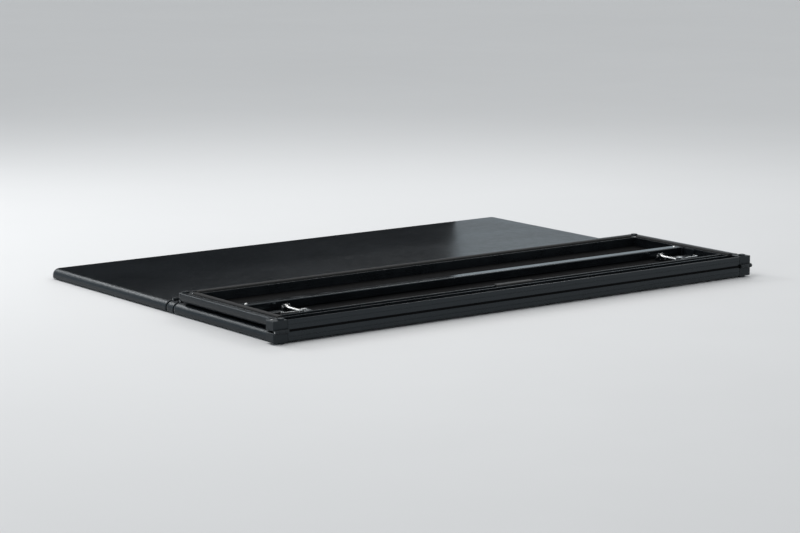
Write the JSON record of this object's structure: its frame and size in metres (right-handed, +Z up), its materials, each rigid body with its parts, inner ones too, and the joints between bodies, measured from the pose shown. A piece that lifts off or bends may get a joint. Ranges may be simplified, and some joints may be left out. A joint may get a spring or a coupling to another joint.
{
  "type": "tonneau cover",
  "caption": "Soft folding pickup-bed cover: hinged aluminium frames under one vinyl skin, rear panel folded over the middle one, screw clamps stowed beneath.",
  "frame": {"origin": "centre of the footprint with the rear panel folded forward, on the plane that the seals and feet stand on", "axes": "+X across the bed towards the passenger side, +Y forward towards the cab, +Z up"},
  "size_m": [1.69, 1.205, 0.068],
  "materials": {
    "vinyl": "matte",
    "seal_foam": "matte",
    "spline_rubber": "matte",
    "pad_rubber": "matte",
    "screw_steel": "satin",
    "pin_steel": "satin",
    "bracket_steel": "satin",
    "rod_steel": "satin",
    "jaw_zinc": "satin",
    "knob_plastic": "matte",
    "block_nylon": "matte",
    "bracket_nylon": "matte",
    "bow_aluminium": "satin",
    "rail_aluminium": "satin"
  },
  "bodies": {
    "front_panel": {"front_left_rail": "rail_aluminium", "front_right_rail": "rail_aluminium", "header_rail": "rail_aluminium", "header_corners": "block_nylon", "front_hinge_rail": "rail_aluminium", "front_hinge_blocks": "block_nylon", "front_hinge_pins": "pin_steel", "front_bow": "bow_aluminium", "front_bow_brackets": "bracket_nylon", "front_vinyl": "vinyl", "front_splines": "spline_rubber", "front_seals": "seal_foam", "front_screws": "screw_steel", "front_clamp_brackets": "bracket_steel", "front_clamp_pins": "pin_steel"},
    "hinge_link": {"link_rail": "rail_aluminium", "link_blocks": "block_nylon", "link_vinyl": "vinyl", "link_splines": "spline_rubber"},
    "mid_panel": {"mid_left_rail": "rail_aluminium", "mid_right_rail": "rail_aluminium", "mid_front_hinge_rail": "rail_aluminium", "mid_rear_hinge_rail": "rail_aluminium", "mid_hinge_blocks": "block_nylon", "mid_hinge_pins": "pin_steel", "mid_bow": "bow_aluminium", "mid_bow_brackets": "bracket_nylon", "mid_vinyl": "vinyl", "mid_splines": "spline_rubber", "mid_seals": "seal_foam", "mid_screws": "screw_steel"},
    "rear_panel": {"rear_left_rail": "rail_aluminium", "rear_right_rail": "rail_aluminium", "tail_rail": "rail_aluminium", "tail_corners": "block_nylon", "rear_hinge_rail": "rail_aluminium", "rear_hinge_blocks": "block_nylon", "rear_bow": "bow_aluminium", "rear_bow_brackets": "bracket_nylon", "rear_vinyl": "vinyl", "rear_splines": "spline_rubber", "rear_seals": "seal_foam", "rear_screws": "screw_steel", "rear_clamp_brackets": "bracket_steel", "rear_clamp_pins": "pin_steel", "bumper_pad": "pad_rubber"},
    "front_left_clamp_rod": {"front_left_clamp_rod": "rod_steel"},
    "front_left_clamp_jaw": {"front_left_clamp_jaw": "jaw_zinc"},
    "front_left_clamp_knob": {"front_left_clamp_knob": "knob_plastic"},
    "front_right_clamp_rod": {"front_right_clamp_rod": "rod_steel"},
    "front_right_clamp_jaw": {"front_right_clamp_jaw": "jaw_zinc"},
    "front_right_clamp_knob": {"front_right_clamp_knob": "knob_plastic"},
    "rear_left_clamp_rod": {"rear_left_clamp_rod": "rod_steel"},
    "rear_left_clamp_jaw": {"rear_left_clamp_jaw": "jaw_zinc"},
    "rear_left_clamp_knob": {"rear_left_clamp_knob": "knob_plastic"},
    "rear_right_clamp_rod": {"rear_right_clamp_rod": "rod_steel"},
    "rear_right_clamp_jaw": {"rear_right_clamp_jaw": "jaw_zinc"},
    "rear_right_clamp_knob": {"rear_right_clamp_knob": "knob_plastic"}
  },
  "joints": [
    {"name": "front_fold", "type": "hinge", "parent": "front_panel", "child": "hinge_link", "pos_m": [0, -0.0465, 0.034], "axis": [-1, 0, 0], "range_deg": [0, 90]},
    {"name": "mid_fold", "type": "hinge", "parent": "hinge_link", "child": "mid_panel", "pos_m": [0, -0.0825, 0.034], "axis": [-1, 0, 0], "range_deg": [0, 90]},
    {"name": "rear_fold", "type": "hinge", "parent": "mid_panel", "child": "rear_panel", "pos_m": [0, -0.5965, 0.034], "axis": [1, 0, 0], "range_deg": [0, 180]},
    {"name": "front_left_clamp_swing", "type": "hinge", "parent": "front_panel", "child": "front_left_clamp_rod", "pos_m": [-0.67, 0.4935, 0.0175], "axis": [1, 0, 0], "range_deg": [0, 90]},
    {"name": "front_left_clamp_jaw_slide", "type": "slide", "parent": "front_left_clamp_rod", "child": "front_left_clamp_jaw", "axis": [0, 1, 0], "range_m": [0, 0.012]},
    {"name": "front_left_clamp_knob_spin", "type": "hinge", "parent": "front_left_clamp_jaw", "child": "front_left_clamp_knob", "pos_m": [-0.67, 0.3865, 0.0175], "axis": [0, 1, 0], "range_deg": [0, 2160]},
    {"name": "front_right_clamp_swing", "type": "hinge", "parent": "front_panel", "child": "front_right_clamp_rod", "pos_m": [0.67, 0.4935, 0.0175], "axis": [1, 0, 0], "range_deg": [0, 90]},
    {"name": "front_right_clamp_jaw_slide", "type": "slide", "parent": "front_right_clamp_rod", "child": "front_right_clamp_jaw", "axis": [0, 1, 0], "range_m": [0, 0.012]},
    {"name": "front_right_clamp_knob_spin", "type": "hinge", "parent": "front_right_clamp_jaw", "child": "front_right_clamp_knob", "pos_m": [0.67, 0.3865, 0.0175], "axis": [0, 1, 0], "range_deg": [0, 2160]},
    {"name": "rear_left_clamp_swing", "type": "hinge", "parent": "rear_panel", "child": "rear_left_clamp_rod", "pos_m": [-0.67, -0.3925, 0.0505], "axis": [-1, 0, 0], "range_deg": [0, 90]},
    {"name": "rear_left_clamp_jaw_slide", "type": "slide", "parent": "rear_left_clamp_rod", "child": "rear_left_clamp_jaw", "axis": [0, 1, 0], "range_m": [0, 0.012]},
    {"name": "rear_left_clamp_knob_spin", "type": "hinge", "parent": "rear_left_clamp_jaw", "child": "rear_left_clamp_knob", "pos_m": [-0.67, -0.4995, 0.0505], "axis": [0, 1, 0], "range_deg": [0, 2160]},
    {"name": "rear_right_clamp_swing", "type": "hinge", "parent": "rear_panel", "child": "rear_right_clamp_rod", "pos_m": [0.67, -0.3925, 0.0505], "axis": [-1, 0, 0], "range_deg": [0, 90]},
    {"name": "rear_right_clamp_jaw_slide", "type": "slide", "parent": "rear_right_clamp_rod", "child": "rear_right_clamp_jaw", "axis": [0, 1, 0], "range_m": [0, 0.012]},
    {"name": "rear_right_clamp_knob_spin", "type": "hinge", "parent": "rear_right_clamp_jaw", "child": "rear_right_clamp_knob", "pos_m": [0.67, -0.4995, 0.0505], "axis": [0, 1, 0], "range_deg": [0, 2160]}
  ],
  "couplings": [
    {"joint": "front_left_clamp_knob_spin", "follows": "front_left_clamp_jaw_slide", "rad_per_m": 3141},
    {"joint": "front_right_clamp_knob_spin", "follows": "front_right_clamp_jaw_slide", "rad_per_m": 3141},
    {"joint": "rear_left_clamp_knob_spin", "follows": "rear_left_clamp_jaw_slide", "rad_per_m": 3141},
    {"joint": "rear_right_clamp_knob_spin", "follows": "rear_right_clamp_jaw_slide", "rad_per_m": 3141}
  ]
}
